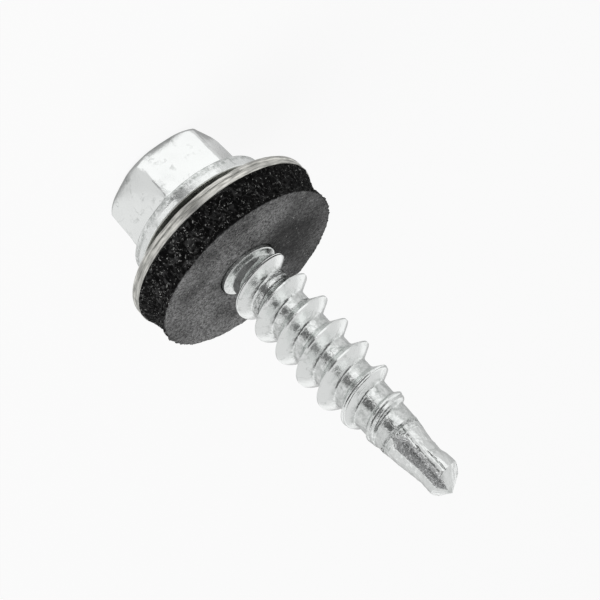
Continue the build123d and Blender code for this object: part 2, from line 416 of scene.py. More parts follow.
def thread_tree(inputs):
    """A skin whose rows climb with the thread, pushed out into a core with a rolled ridge."""
    tree = bpy.data.node_groups.new("rolled_thread", "GeometryNodeTree")
    for name, value in inputs.items():
        tree.interface.new_socket(name=name, in_out="INPUT", socket_type=SOCKET_KINDS[type(value)])
    tree.interface.new_socket(name="Geometry", in_out="OUTPUT", socket_type="NodeSocketGeometry")
    given = add(tree, "NodeGroupInput").outputs

    # A flat sheet, and how far round and how far up it each point is, from 0 to 1.
    columns = add(tree, MATHS, {0: given["Columns"], 1: 1}, operation="ADD")
    rows = add(tree, MATHS, {0: given["Rows"], 1: 1}, operation="ADD")
    sheet = add(
        tree,
        "GeometryNodeMeshGrid",
        {"Size X": 1, "Size Y": 1, "Vertices X": columns, "Vertices Y": rows},
    )
    place = add(tree, "ShaderNodeSeparateXYZ", {0: add(tree, "GeometryNodeInputPosition")})
    turn = add(tree, MATHS, {0: place.outputs["X"], 1: 0.5}, operation="ADD")
    across = add(tree, MATHS, {0: place.outputs["Y"], 1: 0.5}, operation="ADD")

    # Pitches climbed, with the rows crowded at the crest and cut off square at both ends.
    strip = add(tree, MATHS, {0: given["Rows"], 1: given["Rows per turn"]}, operation="DIVIDE")
    climb = add(tree, MATHS, {0: across, 1: strip, 2: given["First row"]}, operation="MULTIPLY_ADD")
    crowd = add(tree, MATHS, {0: climb, 1: given["Crest phase"]}, operation="SUBTRACT")
    crowd = add(tree, MATHS, {0: crowd, 1: 2 * math.pi}, operation="MULTIPLY")
    crowd = add(tree, MATHS, {0: crowd}, operation="SINE")
    crowd = add(tree, MATHS, {0: crowd, 1: given["Crowding"]}, operation="MULTIPLY")
    climb = add(tree, MATHS, {0: climb, 1: crowd}, operation="SUBTRACT")
    climb = add(tree, MATHS, {0: climb, 1: turn}, operation="ADD")
    reach = add(tree, MATHS, {0: given["End height"], 1: given["Start height"]}, operation="SUBTRACT")
    most = add(tree, MATHS, {0: reach, 1: given["Pitch"]}, operation="DIVIDE")
    climb = add(tree, MATHS, {0: climb, 1: 0.0}, operation="MAXIMUM")
    climb = add(tree, MATHS, {0: climb, 1: most}, operation="MINIMUM")
    height = add(
        tree, MATHS, {0: climb, 1: given["Pitch"], 2: given["Start height"]}, operation="MULTIPLY_ADD"
    )

    # Distance along the axis from the nearest crest, and the radii at this height.
    phase = add(tree, MATHS, {0: climb, 1: turn}, operation="SUBTRACT")
    phase = add(tree, MATHS, {0: phase, 1: given["Crest phase"]}, operation="SUBTRACT")
    away = add(tree, MATHS, {0: phase, 1: 0.5}, operation="PINGPONG")
    away = add(tree, MATHS, {0: away, 1: given["Pitch"]}, operation="MULTIPLY")
    ramps = {}
    for name, (begins, ends, first, last, curve) in THREAD_RAMPS.items():
        limits = {"From Min": begins, "From Max": ends, "To Min": first, "To Max": last}
        limits = {socket: given[key] for socket, key in limits.items()}
        ramps[name] = add(tree, RANGE, {"Value": height, **limits}, interpolation_type=curve)
    crest = add(tree, MATHS, {0: ramps["crest"], 1: ramps["run-out"]}, operation="MINIMUM")
    crest = add(tree, MATHS, {0: crest, 1: ramps["onset"]}, operation="MINIMUM")
    core = add(tree, MATHS, {0: ramps["neck"], 1: ramps["collar"]}, operation="MINIMUM")

    # The ridge: its rounded crest, its flanks, and the seam that rolling leaves along the crest.
    short = add(tree, MATHS, {0: given["Crest radius"], 1: crest}, operation="SUBTRACT")
    half = add(
        tree,
        MATHS,
        {0: short, 1: given["Blunting"], 2: given["Crest half width"]},
        operation="MULTIPLY_ADD",
    )
    fall = add(tree, MATHS, {0: half, 1: away}, operation="SUBTRACT")
    fall = add(tree, MATHS, {0: fall, 1: given["Flank slope"]}, operation="MULTIPLY")
    fall = add(tree, MATHS, {0: fall, 1: 0.0, 2: given["Crest rounding"]}, operation="SMOOTH_MIN")
    narrow = add(tree, MATHS, {0: half, 1: given["Seam share"]}, operation="MULTIPLY")
    seam = add(
        tree,
        RANGE,
        {"Value": away, "From Max": narrow, "To Min": given["Seam depth"], "To Max": 0.0},
        interpolation_type="SMOOTHSTEP",
    )
    ridge = add(tree, MATHS, {0: crest, 1: fall}, operation="ADD")
    ridge = add(tree, MATHS, {0: ridge, 1: seam}, operation="SUBTRACT")
    radius = add(tree, MATHS, {0: core, 1: ridge, 2: given["Root rounding"]}, operation="SMOOTH_MAX")

    # The place, once as it should be and once pushed off it by the forming.
    round_angle = add(tree, MATHS, {0: turn, 1: 2 * math.pi}, operation="MULTIPLY")
    cosine = add(tree, MATHS, {0: round_angle}, operation="COSINE")
    sine = add(tree, MATHS, {0: round_angle}, operation="SINE")
    x = add(tree, MATHS, {0: cosine, 1: radius}, operation="MULTIPLY")
    y = add(tree, MATHS, {0: sine, 1: radius}, operation="MULTIPLY")
    true_place = add(tree, "ShaderNodeCombineXYZ", {0: x, 1: y, 2: height})
    patches = add(
        tree,
        NOISE,
        {"Vector": true_place, "W": given["Seed"], "Scale": given["Patches per metre"], "Detail": 3.0},
        noise_dimensions="4D",
    )
    push = add(tree, MATHS, {0: patches, 1: 0.5}, operation="SUBTRACT")
    radius = add(tree, MATHS, {0: push, 1: given["Unevenness"], 2: radius}, operation="MULTIPLY_ADD")
    x = add(tree, MATHS, {0: cosine, 1: radius}, operation="MULTIPLY")
    y = add(tree, MATHS, {0: sine, 1: radius}, operation="MULTIPLY")
    target = add(tree, "ShaderNodeCombineXYZ", {0: x, 1: y, 2: height})
    skin = add(tree, "GeometryNodeSetPosition", {"Geometry": sheet, "Position": target})
    skin = add(
        tree, "GeometryNodeMergeByDistance", {"Geometry": skin, "Distance": given["Merge distance"]}
    )
    skin = add(tree, "GeometryNodeRealizeInstances", {"Geometry": skin})
    skin = add(tree, "GeometryNodeSetMaterial", {"Geometry": skin, "Material": given["Material"]})
    add(tree, "NodeGroupOutput", {"Geometry": skin})
    return tree


def thread_mesh(size, material):
    """The neck, core and thread as a plain mesh, open at both ends."""
    start = size.plain_end + NECK_GAP
    crest_phase = (size.begins - start) / size.pitch - size.start_angle / (2 * math.pi)
    first_row = crest_phase % 1 - 2 + 0.5 / ROWS_PER_TURN
    turns = (size.ends - start) / size.pitch
    inputs = {
        "Columns": COLUMNS,
        "Rows": math.ceil((turns - first_row) * ROWS_PER_TURN),
        "Rows per turn": ROWS_PER_TURN,
        "Start height": start,
        "End height": size.ends,
        "Pitch": size.pitch,
        "First row": first_row,
        "Crowding": 0.5 / (2 * math.pi),
        "Crest phase": crest_phase,
        "Crest radius": size.crest,
        "First crest radius": size.first_crest,
        "Last crest radius": size.last_crest,
        "Crest half width": size.crest_width / 2,
        "Blunting": 0.4 * math.tan(size.flank),
        "Seam share": 0.4,
        "Seam depth": 0.05 * MM,
        "Onset end": start + 0.5 * MM,
        "Flank slope": 1 / math.tan(size.flank),
        "Begins": size.begins,
        "Full from": size.full,
        "Taper from": size.taper,
        "Neck radius": size.neck,
        "Core radius": size.core,
        "Collar radius": size.collar,
        "Neck start": size.plain_end,
        "Neck end": size.neck_end,
        "Root rounding": size.root_rounding,
        "Crest rounding": 0.05 * MM,
        "Unevenness": 0.05 * MM,
        "Patches per metre": 1 / (0.7 * MM),
        "Merge distance": 0.001 * MM,
        "Seed": 3.0,
        "Material": material,
    }
    tree = thread_tree(inputs)
    carrier = bpy.data.objects.new("thread_carrier", bpy.data.meshes.new("thread_carrier"))
    bpy.context.scene.collection.objects.link(carrier)
    modifier = carrier.modifiers.new("rolled_thread", "NODES")
    modifier.node_group = tree
    for item in tree.interface.items_tree:
        if item.in_out == "INPUT":
            modifier[item.identifier] = inputs[item.name]
    bpy.context.view_layer.update()
    graph = bpy.context.evaluated_depsgraph_get()
    mesh = bpy.data.meshes.new_from_object(carrier.evaluated_get(graph))
    carrier.modifiers.remove(modifier)
    bpy.data.objects.remove(carrier)
    if len(mesh.vertices) < COLUMNS * ROWS_PER_TURN:
        raise RuntimeError("the thread's node tree made no skin")
    return mesh


# Drill point.

POINT_LENGTH = 1.2 * MM  # where the rings come closer together towards the tip
FLUTE_EDGE = 0.12 * MM  # depth at which a flute's scale and the painted shade of its recess are full
BURR = (0.05 * MM, 0.02 * MM, 0.05 * MM)  # height, distance behind the cutting edge, width
GROOVE = (0.07 * MM, 0.24 * MM, 0.035 * MM)  # depth, distance behind the cutting edge, width


def point_angles(size):
    """Angles round the drill from about +X, closer together where the flutes are."""
    half = COLUMNS // 2
    mouth = size.wall + size.opening / 2
    flank_count = half // 5
    radii = np.linspace(size.lip, size.web, flank_count, endpoint=False)
    away = np.arcsin(size.web * math.sin(size.opening / 2) / radii)
    wall = size.wall + away
    heel = 2 * mouth - wall[::-1]
    land = np.linspace(heel[-1] - math.pi, wall[0], half - 2 * flank_count, endpoint=False)[1:]
    one = np.concatenate((land, wall, [mouth], heel))
    angles = np.concatenate((one, one + math.pi))
    first = int(np.argmin(np.abs(angles - 2 * math.pi)))
    angles = np.roll(angles, -first)
    angles = np.where(angles > math.pi * 2 - 1e-3, angles - 2 * math.pi, angles)
    return np.unwrap(angles)


def ring_at(mesh, height):
    """Distances from the axis of a mesh's ring at a height, in order of angle."""
    places = np.array([vertex.co for vertex in mesh.vertices])
    ring = places[np.abs(places[:, 2] - height) < SAME_PLACE]
    order = np.argsort(np.arctan2(ring[:, 1], ring[:, 0]) % (2 * math.pi - 1e-6))
    if len(ring) != COLUMNS:
        raise RuntimeError(f"the thread ends in {len(ring)} points")
    return reach_of(ring[order])


def pinched_radius(height, angles, size, thread):
    """Distance from the axis to the outside of the pinched drill, whose back is flatter."""
    steps = (thread.ends, size.body_from, size.flare_from, size.flare_to)
    body = np.interp(height, steps, (thread.collar, size.body, size.body, size.lip))
    steps = (thread.ends, size.body_from, size.flare_to, screw_high.z)
    back = np.interp(height, steps, (thread.collar, size.back, size.back_end, size.back_end))
    facing = 0.5 + 0.5 * np.cos(angles - size.ground_facing)
    return back + (body - back) * np.clip(facing * 1.6 - 0.3, 0, 1)


def ground_radius(radius, height, angles, size):
    """The radius that is left once the point is ground to a cone and two flat faces."""
    to_tip = screw_high.z - height
    radius = np.minimum(radius, to_tip * math.tan(size.point_angle))
    for face in (size.ground_facing, size.ground_facing + math.pi):
        toward = np.maximum(np.cos(angles - face), 1e-3)
        radius = np.minimum(radius, to_tip * math.tan(size.ground_angle) / toward)
    return radius


def fluted_radius(radius, height, angles, size):
    """The radius that is left between the two flutes, which start at the end of their ramps."""
    mouth = size.wall + size.opening / 2
    gap = size.web + size.shift * np.clip(1 - (height - size.flute_from) / size.ramp, 0, 1)
    for centre in (mouth, mouth + math.pi):
        off = np.abs((angles - centre + math.pi) % (2 * math.pi) - math.pi)
        room = size.opening / 2 - off
        wall = gap * math.sin(size.opening / 2) / np.sin(np.maximum(room, 1e-3))
        radius = np.where(room > 0, np.minimum(radius, wall), radius)
    return radius


def bulge(across, height, centre, width):
    """A rounded bulge of a height and width, at distances across it."""
    return height * np.exp(-(((across - centre) / width) ** 2))


def point_rows(size, thread, collar):
    """Rings from the collar to just short of the tip, and how much flute scale and painted shade each
    point has.
    """
    tip = screw_high.z
    own = point_angles(size)
    even = even_angles(COLUMNS)
    heights = np.concatenate(
        (
            np.linspace(thread.ends + RING_GAP, size.flute_from, 6),
            np.linspace(size.flute_from, tip - POINT_LENGTH, 52)[1:],
            np.linspace(tip - POINT_LENGTH, tip - RING_GAP, 26)[1:],
        )
    )
    rows, flute_shade_and_tear, settle = [], [], []
    for height in heights:
        blend = np.clip((height - thread.ends) / (size.flute_from - thread.ends), 0, 1)
        angles = even + (own - even) * blend
        radius = pinched_radius(height, angles, size, thread)
        radius = collar + (radius - collar) * blend if blend < 1 else radius
        outside = ground_radius(radius, height, angles, size)
        radius = fluted_radius(outside, height, angles, size)
        # Depth into a flute, which lays on its scale and a painted shade of the recess.
        deep = np.clip((outside - radius) / FLUTE_EDGE, 0, 1)
        # The groove fades in under the flute's ramp, and fades out with the burr before the tip.
        drawn = np.clip((height - size.flare_from + 0.6 * MM) / (0.8 * MM), 0, 1)
        near_tip = np.clip((tip - 0.9 * MM - height) / (0.3 * MM), 0, 1)
        for edge in (size.wall, size.wall + math.pi):
            behind = ((edge - angles + math.pi / 2) % (2 * math.pi) - math.pi / 2) * outside
            burr = bulge(behind, *BURR) * (1 - deep) * blend
            radius = radius + (burr - bulge(behind, *GROOVE) * drawn) * near_tip
        rows.append(turned(radius, height, angles))
        flute_shade_and_tear.append(deep)
        settle.append(np.clip((height - thread.ends) / (0.5 * MM), 0, 1))
    # Dents all over and crumbs in the flutes, both fading in from the smooth collar.
    rows, settle = np.array(rows), np.array(settle)[:, None]
    dents = unevenness(rows, patch=0.35 * MM, depth=0.03 * MM, seed=7.0)
    crumbs = unevenness(rows, patch=0.11 * MM, depth=0.07 * MM, seed=9.0) * np.array(flute_shade_and_tear)
    push_out(rows, (dents + crumbs) * settle, least_reach=0.4 * MM)
    return rows, flute_shade_and_tear


def forming_marks(place, head, thread, point):
    """How strongly forging and rolling marked the metal at a place, from 0 to 1."""
    reach, height = place.xy.length, place.z
    if height <= head.bearing - head.rim:  # the flat top, and the flange with the hexagon's corners
        marks = max((reach - head.shoulder) / (0.15 * MM), 1 - height / (0.3 * MM))
    elif height < head.bearing:  # the flange's upright rim
        marks = 0.15
    elif height < thread.neck_end:  # the shank and the neck
        marks = 0.3
    elif height < point.flute_from + 0.4 * MM:  # the thread: strong on the core, none on the flanks
        marks = min(0.7, 1 - (reach - thread.core) / (0.3 * MM))
    else:  # the drill
        marks = 0.25
    return min(1, max(0, marks))


def make_screw(head, thread, point, finishes):
    """Head, thread and drill point in one closed skin, as they are one forged piece."""
    material = zinc_plated_steel(finishes)
    ridge = thread_mesh(thread, material)
    shape = bmesh.new()
    add_skin(shape, head_rows(head, thread), pole_before=(0, 0, 0))
    shape.from_mesh(ridge)
    rows, flute_shade_and_tear = point_rows(point, thread, ring_at(ridge, thread.ends))
    add_skin(shape, rows, pole_after=(0, 0, screw_high.z), flute_shade_and_tear=flute_shade_and_tear)
    open_edges = [edge for edge in shape.edges if edge.is_boundary]
    halfway = (thread.begins + thread.ends) / 2
    for above in (False, True):
        loops = [edge for edge in open_edges if (edge.verts[0].co.z > halfway) == above]
        if len(loops) != 2 * COLUMNS:
            raise RuntimeError(f"the screw's sections do not meet: {len(loops)} open edges")
        bmesh.ops.bridge_loops(shape, edges=loops)
    if any(edge.is_boundary for edge in shape.edges):
        raise RuntimeError("the screw's skin is open")
    for face in shape.faces:
        face.material_index = 0  # the thread's faces came with an index of their own mesh
    wrinkle = shape.verts.layers.float.new("wrinkle")
    for vertex in shape.verts:
        vertex[wrinkle] = forming_marks(vertex.co, head, thread, point)
    return finish_piece("forged_screw", shape, "screw", "screw_body", material, crease=40)


# Washer and seal.

BORE_EDGE = 0.05 * MM  # rounding of the bore's edges
RIM_WIDTH = 0.3 * MM  # rounding of the washer's upper rim, across
RIM_DEPTH = 0.26 * MM  # and down
RIM_INSET = 0.02 * MM  # how far it stays inside the washer's full size
LIP_EDGE = 0.01 * MM  # how far the seal's lip and bore are rounded off its face
SEAL_EDGE_AT = (0, 0.3, 0.68, 1)  # shares of the seal's edge, from the washer to its face
SEAL_EDGE_PINCH = (0.06, 0.62, 1, 0.62)  # how far it is drawn in to the waist there
SEAL_EDGE_END = 0.985  # share of the edge's depth at which its lip turns in
# The washer's edge below its rounded rim, bright and then torn: inwards and down, in millimetres.
SHEARED_EDGE = (
    (0.035, 0.30),
    (0.075, 0.335),
    (0.06, 0.37),
    (0.045, 0.45),
    (0.05, 0.55),
    (0.035, 0.65),
    (0.005, 0.70),
    (0.0, 0.74),
    (0.02, 0.785),
)


def dish_height(radius, flat_height, size):
    """Height of the dished sheet at a radius, flat in the middle and bent to a cone outside."""
    slope = (washer_high.z - washer_low.z - size.thickness) / (size.radius - size.land)
    past = radius - size.land
    bend = size.bend
    bent = slope * (past + bend / 2) ** 2 / (2 * bend)
    return flat_height + np.where(past < -bend / 2, 0, np.where(past > bend / 2, slope * past, bent))


def make_washer(size, finishes):
    """Dished steel washer with a rolled upper edge, a sheared band and a burr below it."""
    angles = even_angles(WASHER_COLUMNS)
    under = washer_low.z
    top = under + size.thickness
    outer = size.radius
    rows = []

    def ring(radius, height):
        rows.append(turned(radius, height, angles))

    ring(size.bore, (under + top) / 2)
    ring(size.bore, under + BORE_EDGE)
    for radius in np.linspace(size.bore + BORE_EDGE, outer - 0.5 * MM, 26):
        ring(radius, dish_height(radius, under, size))
    rim = dish_height(outer, under, size)
    start = (outer - RIM_WIDTH, dish_height(outer - RIM_WIDTH, under, size))
    corner, end = (outer - RIM_INSET, rim - RIM_INSET), (outer - RIM_INSET, rim + RIM_DEPTH)
    for radius, height in bend_line(start, corner, end, 9):
        ring(radius, height)
    for inwards, down in SHEARED_EDGE:
        ring(outer - inwards * MM, rim + down * MM)
    for radius in np.linspace(outer - 0.08 * MM, size.bore + BORE_EDGE, 24):
        ring(radius, dish_height(radius, top, size))
    ring(size.bore, top - BORE_EDGE)
    rows = np.array(rows)
    reach = reach_of(rows)
    nicks = unevenness(rows, patch=0.5 * MM, depth=0.02 * MM, seed=2.0) * (reach > outer - RIM_WIDTH)
    waves = unevenness(rows, patch=2.2 * MM, depth=0.03 * MM, seed=5.0) * (reach > size.land)
    push_out(rows, np.minimum(nicks, 0))
    rows[..., 2] += waves * (rows[..., 2] < washer_high.z - 0.1 * MM)
    shape = bmesh.new()
    add_skin(shape, list(rows) + [rows[0]])
    bmesh.ops.remove_doubles(shape, verts=shape.verts, dist=SAME_PLACE)
    material = zinc_plated_sheet(finishes)
    return finish_piece(
        "dished_washer", shape, "washer", "sealing_washer", material, crease=50
    )


def make_seal(size, finishes):
    """Rubber ring with a rough, waisted edge, a ragged lip and a face greyed by talc and a painted
    sheen.
    """
    angles = even_angles(SEAL_COLUMNS)
    bond = washer_low.z + size.thickness
    face = seal_high.z
    rows, rough = [], []

    def ring(radius, height, amount):
        rows.append(turned(radius, height, angles))
        rough.append(amount + np.zeros_like(angles))

    ring(size.bore, (bond + face) / 2, 0)
    ring(size.bore, bond + BORE_EDGE, 0)
    for radius in np.linspace(size.bore + BORE_EDGE, size.radius - 0.15 * MM, 12):
        ring(radius, dish_height(radius, bond, size) + 0.01 * MM, 0)
    edge_top = dish_height(size.radius, bond, size)
    deep = face - edge_top
    for share in np.linspace(0.02, 1, 30):
        pinch = np.interp(share, SEAL_EDGE_AT, SEAL_EDGE_PINCH)
        radius = size.radius - (size.radius - size.waist) * pinch
        ring(radius, edge_top + deep * share * SEAL_EDGE_END, 1)
    ring(size.lip - 0.02 * MM, face - LIP_EDGE, 0.6)
    for radius in np.linspace(size.lip - 0.12 * MM, size.bore + 0.12 * MM, 26):
        ring(radius, face, 0)
    ring(size.bore + 0.04 * MM, face - LIP_EDGE, 0)
    ring(size.bore, face - 0.06 * MM, 0)
    rows, rough = np.array(rows), np.array(rough)
    torn = unevenness(rows, patch=0.30 * MM, depth=0.10 * MM, seed=11.0)
    waves = unevenness(rows, patch=1.5 * MM, depth=0.08 * MM, seed=13.0)
    push_out(rows, (torn + waves) * rough)
    shape = bmesh.new()
    add_skin(shape, list(rows) + [rows[0]], flute_shade_and_tear=list(rough) + [rough[0]])
    bmesh.ops.remove_doubles(shape, verts=shape.verts, dist=SAME_PLACE)
    material = vulcanised_rubber(finishes)
    return finish_piece(
        "rubber_seal", shape, "seal", "sealing_washer", material, crease=60
    )


# Finishes. Patterns are given by their real size in millimetres, their detail and their distortion.

STEEL_PATTERNS = {
    "patches": (1.1, 6.0, 0.0),  # of the plating, with a matt vein where two of them meet
    "places": (0.7, 3.0, 0.0),  # where those veins show
    "folds": (0.3, 4.0, 0.6),  # from forging and rolling
    "grit": (0.15, 2.0, 0.0),  # zinc crumbs in the flutes, whose white is partly a painted glint
    "grain": (0.09, 3.0, 0.0),  # of the plating, drawn coarser than it is so that it shows
    "dents": (0.45, 2.0, 0.0),  # from tumbling in the plating barrel
}
RUBBER_PATTERNS = {
    "grains": (0.13, 3.0, 0.0),  # of the filler, and of the talc on it
    "clouds": (2.4, 3.0, 0.0),  # of talc on the moulded face
    "clumps": (0.4, 5.0, 1.0),  # torn out of the edge
    "crumbs": (0.17, 3.0, 1.2),  # pale filler that the tear laid bare
}
STREAK = 0.14  # millimetres across a streak, both of the rolled steel and of the sheared sheet
SHEEN_PLACE = (-2.5, 1.5, 9.0)  # millimetres, where a pale patch of talc with a painted sheen lies beside the shank
SHADOW_PLACE = (3.8, 0.5, 9.0)  # millimetres, where a painted shadow of the shank darkens the talc on the other side


def new_finish(name, patterns):
    """A material without its shader: its nodes, the piece's place in millimetres, patterns there."""
    material = bpy.data.materials.new(name)
    material.use_nodes = True
    tree = material.node_tree
    tree.nodes.clear()
    place = add(tree, "ShaderNodeTexCoord").outputs["Object"]
    place = add(tree, "ShaderNodeMapping", {"Vector": place, "Scale": (1 / MM, 1 / MM, 1 / MM)})
    found = {}
    for pattern, (size, detail, distortion) in patterns.items():
        settings = {"Scale": 1 / size, "Detail": detail, "Distortion": distortion}
        found[pattern] = add(tree, NOISE, {"Vector": place, **settings})
    return material, tree, place, found


def zinc_plated_steel(finishes):
    """Bright zinc on forged carbon steel: a cool white shine, veined where the plating is matt."""
    material, tree, place, found = new_finish("bright_zinc_on_forged_steel", STEEL_PATTERNS)
    formed = add(tree, "ShaderNodeAttribute", attribute_name="wrinkle").outputs["Fac"]
    # How far into a flute: forged scale, and a painted shade of the flute's recess.
    flute = add(tree, "ShaderNodeAttribute", attribute_name="flute_shade_and_tear").outputs["Fac"]

    # The plating is matt in veins, and in pits where the forming was hard.
    off = add(tree, MATHS, {0: found["patches"], 1: 0.5}, operation="SUBTRACT")
    off = add(tree, MATHS, {0: off}, operation="ABSOLUTE")
    vein = add(tree, RANGE, {"Value": off, "From Max": 0.04, "To Min": 1.0, "To Max": 0.0})
    where = add(
        tree, RANGE, {"Value": found["places"], "From Min": 0.5, "From Max": 0.65, "To Max": 0.45}
    )
    matt = add(tree, MATHS, {0: vein, 1: where}, operation="MULTIPLY")
    pits = add(
        tree, RANGE, {"Value": found["folds"], "From Min": 0.35, "From Max": 0.72, "To Max": 0.9}
    )
    matt = add(tree, MATHS, {0: pits, 1: formed, 2: matt}, operation="MULTIPLY_ADD", use_clamp=True)
    tone = add(
        tree, MIX, {0: matt, 6: (*finishes.zinc, 1), 7: (*finishes.zinc_dull, 1)}, data_type="RGBA"
    )

    # The flutes hold scale, which also paints shade into their recess, and white crumbs, whose white is
    # partly a painted glint; both are hardly metallic.
    crumb_and_glint = add(tree, RANGE, {"Value": found["grit"], "From Min": 0.56, "From Max": 0.59})
    scale = add(
        tree, MIX, {0: crumb_and_glint, 6: (*finishes.scale, 1), 7: (*finishes.flute_crumbs_and_glints, 1)}, data_type="RGBA"
    )
    tone = add(tree, MIX, {0: flute, 6: tone.outputs[2], 7: scale.outputs[2]}, data_type="RGBA")
    scaly = add(tree, MATHS, {0: crumb_and_glint, 1: 0.3, 2: 0.7}, operation="MULTIPLY_ADD")
    scaly = add(tree, MATHS, {0: scaly, 1: flute}, operation="MULTIPLY")
    bare = add(tree, MATHS, {0: 1.0, 1: scaly}, operation="SUBTRACT")
    rough = add(
        tree,
        RANGE,
        {"Value": found["patches"], "From Min": 0.4, "From Max": 0.7, "To Min": 0.14, "To Max": 0.28},
    )
    rough = add(tree, MATHS, {0: scaly, 1: 0.3, 2: rough}, operation="MULTIPLY_ADD")

    # Relief: grain and dents all over, folds and rolling lines where it was formed, lumps of grit.
    rolled = add(tree, "ShaderNodeMapping", {"Vector": place, "Scale": (0.12, 0.12, 1.0)})
    lines = add(tree, NOISE, {"Vector": rolled, "Scale": 1 / STREAK, "Detail": 2.0})
    marks = add(tree, MATHS, {0: found["folds"], 1: 1.6, 2: lines}, operation="MULTIPLY_ADD")
    marks = add(tree, MATHS, {0: marks, 1: formed}, operation="MULTIPLY")
    lumps = add(tree, MATHS, {0: found["grit"], 1: flute}, operation="MULTIPLY")
    relief = found["grain"]
    for layer, depth in ((found["dents"], 3.0), (marks, 4.0), (lumps, 12.0)):
        relief = add(tree, MATHS, {0: layer, 1: depth, 2: relief}, operation="MULTIPLY_ADD")
    bump = add(tree, "ShaderNodeBump", {"Height": relief, "Strength": 0.35, "Distance": 0.02 * MM})
    shader = add(
        tree,
        "ShaderNodeBsdfPrincipled",
        {"Base Color": tone.outputs[2], "Metallic": bare, "Roughness": rough, "Normal": bump},
    )
    add(tree, "ShaderNodeOutputMaterial", {"Surface": shader})
    return material


def zinc_plated_sheet(finishes):
    """Zinc on stamped sheet steel: warmer and duller than the screw, streaked round its edge."""
    material, tree, place, _ = new_finish("dull_zinc_on_stamped_sheet", {})
    parts = add(tree, "ShaderNodeSeparateXYZ", {0: place}).outputs
    level = add(tree, "ShaderNodeCombineXYZ", {0: parts["X"], 1: parts["Y"]})
    reach = add(tree, VECTOR_MATHS, {0: level}, operation="LENGTH")
    around = add(tree, MATHS, {0: parts["Y"], 1: parts["X"]}, operation="ARCTAN2")
    drawn = add(tree, "ShaderNodeCombineXYZ", {0: reach.outputs["Value"], 1: around, 2: parts["Z"]})
    streaks = add(tree, NOISE, {"Vector": drawn, "Scale": 1 / STREAK, "Detail": 3.0})
    matt = add(tree, RANGE, {"Value": streaks, "From Min": 0.38, "From Max": 0.64})
    tone = add(
        tree, MIX, {0: matt, 6: (*finishes.washer, 1), 7: (*finishes.washer_dull, 1)}, data_type="RGBA"
    )
    rough = add(
        tree, RANGE, {"Value": streaks, "From Min": 0.3, "From Max": 0.7, "To Min": 0.28, "To Max": 0.5}
    )
    bump = add(tree, "ShaderNodeBump", {"Height": streaks, "Strength": 0.5, "Distance": 0.03 * MM})
    shader = add(
        tree,
        "ShaderNodeBsdfPrincipled",
        {"Base Color": tone.outputs[2], "Metallic": 1.0, "Roughness": rough, "Normal": bump},
    )
    add(tree, "ShaderNodeOutputMaterial", {"Surface": shader})
    return material


